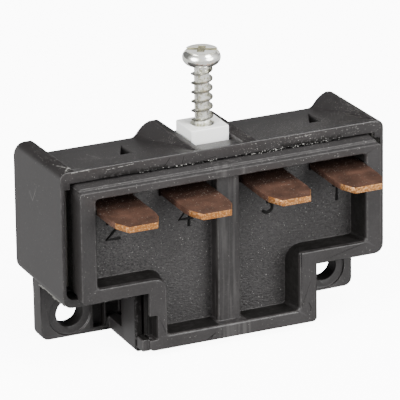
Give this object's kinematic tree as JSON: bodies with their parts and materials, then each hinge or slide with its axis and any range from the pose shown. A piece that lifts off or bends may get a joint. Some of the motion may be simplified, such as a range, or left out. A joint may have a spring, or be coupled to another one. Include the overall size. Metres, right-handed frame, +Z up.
{
  "type": "double-pole contact block",
  "caption": "T-shaped moulded contact block with two mounting ears, flat tab terminals and a spring-loaded plunger with an adjusting screw.",
  "frame": {"origin": "middle of the block's footprint (ears, body and tabs) on the surface that it stands on", "axes": "+Z up along the plunger and screw, -Y the way the tabs point, X along the row of tabs"},
  "size_m": [0.046, 0.0264, 0.0377],
  "materials": {
    "housing_plastic": "fine satin moulding",
    "base_plastic": "satin rim, rough recess floor",
    "tab_copper": "tarnished copper strip, bright cut edges",
    "bridge_copper": "copper strip",
    "contact_silver": "silver rivet",
    "plunger_nylon": "natural white nylon",
    "screw_zinc": "bright zinc plate",
    "spring_steel": "drawn wire"
  },
  "bodies": {
    "block": {"housing": "housing_plastic", "terminal_base": "base_plastic", "terminal_1": "tab_copper", "terminal_2": "tab_copper", "terminal_3": "tab_copper", "terminal_4": "tab_copper", "fixed_contact_1": "contact_silver", "fixed_contact_2": "contact_silver", "fixed_contact_3": "contact_silver", "fixed_contact_4": "contact_silver", "return_spring": "spring_steel"},
    "plunger": {"plunger": "plunger_nylon", "left_contact_spring": "spring_steel", "right_contact_spring": "spring_steel"},
    "screw": {"adjusting_screw": "screw_zinc"},
    "left_bridge": {"left_bridge": "bridge_copper", "moving_contact_2": "contact_silver", "moving_contact_4": "contact_silver"},
    "right_bridge": {"right_bridge": "bridge_copper", "moving_contact_3": "contact_silver", "moving_contact_1": "contact_silver"}
  },
  "joints": [
    {"name": "plunger_slide", "type": "slide", "parent": "block", "child": "plunger", "axis": [0, 0, -1], "range_m": [0, 0.002], "stiffness_N_per_m": 100, "springref_m": -0.001, "deforming": ["return_spring"]},
    {"name": "screw_turn", "type": "hinge", "parent": "plunger", "child": "screw", "pos_m": [0, 0.00364, 0.03], "axis": [0, 0, 1], "range_deg": [-360, 360]},
    {"name": "left_bridge_float", "type": "slide", "parent": "plunger", "child": "left_bridge", "axis": [0, 0, 1], "range_m": [0, 0.0008], "stiffness_N_per_m": 60, "springref_m": -0.0005, "deforming": ["left_contact_spring"]},
    {"name": "right_bridge_float", "type": "slide", "parent": "plunger", "child": "right_bridge", "axis": [0, 0, 1], "range_m": [0, 0.0008], "stiffness_N_per_m": 60, "springref_m": -0.0005, "deforming": ["right_contact_spring"]}
  ]
}
